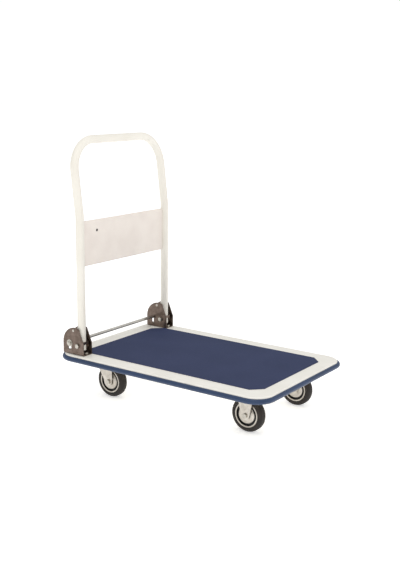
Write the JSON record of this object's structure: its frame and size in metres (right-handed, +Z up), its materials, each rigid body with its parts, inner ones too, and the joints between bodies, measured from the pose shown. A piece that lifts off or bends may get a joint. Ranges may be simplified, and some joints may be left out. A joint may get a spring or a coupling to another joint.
{
  "type": "folding platform cart",
  "caption": "Flat steel deck with a ribbed mat and wrap-round bumper on two rigid and two swivel casters, with a tube handle that folds forward on to the deck.",
  "frame": {"origin": "on the floor under the middle of the deck", "axes": "+X to the free end of the deck, away from the handle; +Y to the left of a person who stands behind the handle; +Z up"},
  "size_m": [0.74, 0.48, 0.785],
  "materials": {
    "deck_paint": "warm white powder coat",
    "handle_paint": "warm white powder coat",
    "mat_pvc": "ribbed navy PVC matting",
    "bumper_pvc": "satin blue PVC extrusion",
    "bracket_zinc": "pressed steel, zinc plated, warm grey",
    "fastener_zinc": "bright zinc plate",
    "caster_zinc": "pressed steel, bright zinc plate",
    "rod_steel": "drawn steel bar, zinc plated",
    "dark_steel": "oiled dark steel",
    "bush_brass": "sintered bronze-brass bush",
    "tyre_rubber": "black moulded rubber",
    "core_black": "black moulded plastic"
  },
  "bodies": {
    "chassis": {"deck_pan": "deck_paint", "deck_mat": "mat_pvc", "bumper": "bumper_pvc", "front_channel": "deck_paint", "rear_channel": "deck_paint", "deck_ribs": "deck_paint", "hinge_bracket_left": "bracket_zinc", "hinge_bracket_right": "bracket_zinc", "bracket_bolts": "fastener_zinc", "bracket_nuts": "fastener_zinc", "pivot_bolts": "fastener_zinc", "pivot_nuts": "fastener_zinc", "stop_pins": "fastener_zinc", "rod_spring_left": "dark_steel", "rod_spring_right": "dark_steel", "rigid_fork_left": "caster_zinc", "rigid_fork_right": "caster_zinc", "swivel_plate_left": "caster_zinc", "swivel_plate_right": "caster_zinc", "kingpins": "dark_steel", "ball_rings": "dark_steel", "caster_bolts": "fastener_zinc", "caster_nuts": "fastener_zinc", "axle_bolt_front_left": "fastener_zinc", "axle_bolt_front_right": "fastener_zinc", "front_axle_nuts": "fastener_zinc"},
    "handle": {"handle_tube": "handle_paint", "handle_panel": "handle_paint", "handle_lug_left": "bracket_zinc", "handle_lug_right": "bracket_zinc", "pivot_sleeves": "bush_brass"},
    "release_bar": {"release_rod": "rod_steel", "rod_washers": "fastener_zinc", "rod_caps": "fastener_zinc", "latch_block_left": "dark_steel", "latch_block_right": "dark_steel"},
    "swivel_left": {"swivel_fork_left": "caster_zinc", "axle_bolt_rear_left": "fastener_zinc", "rear_axle_nut_left": "fastener_zinc"},
    "swivel_right": {"swivel_fork_right": "caster_zinc", "axle_bolt_rear_right": "fastener_zinc", "rear_axle_nut_right": "fastener_zinc"},
    "wheel_front_left": {"tyre_front_left": "tyre_rubber", "wheel_core_front_left": "core_black", "wheel_trim_front_left": "caster_zinc", "wheel_bush_front_left": "bush_brass"},
    "wheel_front_right": {"tyre_front_right": "tyre_rubber", "wheel_core_front_right": "core_black", "wheel_trim_front_right": "caster_zinc", "wheel_bush_front_right": "bush_brass"},
    "wheel_rear_left": {"tyre_rear_left": "tyre_rubber", "wheel_core_rear_left": "core_black", "wheel_trim_rear_left": "caster_zinc", "wheel_bush_rear_left": "bush_brass"},
    "wheel_rear_right": {"tyre_rear_right": "tyre_rubber", "wheel_core_rear_right": "core_black", "wheel_trim_rear_right": "caster_zinc", "wheel_bush_rear_right": "bush_brass"}
  },
  "joints": [
    {"name": "handle_fold", "type": "hinge", "parent": "chassis", "child": "handle", "pos_m": [-0.29, 0, 0.167], "axis": [0, 1, 0], "range_deg": [0, 92]},
    {"name": "release_press", "type": "slide", "parent": "chassis", "child": "release_bar", "axis": [0, 0, 1], "range_m": [-0.016, 0], "stiffness_N_per_m": 700, "springref_m": 0.012, "deforming": ["rod_spring_left", "rod_spring_right"]},
    {"name": "swivel_left_turn", "type": "hinge", "parent": "chassis", "child": "swivel_left", "pos_m": [-0.255, 0.134, 0.108], "axis": [0, 0, 1], "continuous": true},
    {"name": "swivel_right_turn", "type": "hinge", "parent": "chassis", "child": "swivel_right", "pos_m": [-0.255, -0.134, 0.108], "axis": [0, 0, 1], "continuous": true},
    {"name": "front_left_wheel_turn", "type": "hinge", "parent": "chassis", "child": "wheel_front_left", "pos_m": [0.26, 0.134, 0.05], "axis": [0, 1, 0], "continuous": true},
    {"name": "front_right_wheel_turn", "type": "hinge", "parent": "chassis", "child": "wheel_front_right", "pos_m": [0.26, -0.134, 0.05], "axis": [0, 1, 0], "continuous": true},
    {"name": "rear_left_wheel_turn", "type": "hinge", "parent": "swivel_left", "child": "wheel_rear_left", "pos_m": [-0.23, 0.134, 0.05], "axis": [0, 1, 0], "continuous": true},
    {"name": "rear_right_wheel_turn", "type": "hinge", "parent": "swivel_right", "child": "wheel_rear_right", "pos_m": [-0.23, -0.134, 0.05], "axis": [0, 1, 0], "continuous": true}
  ]
}
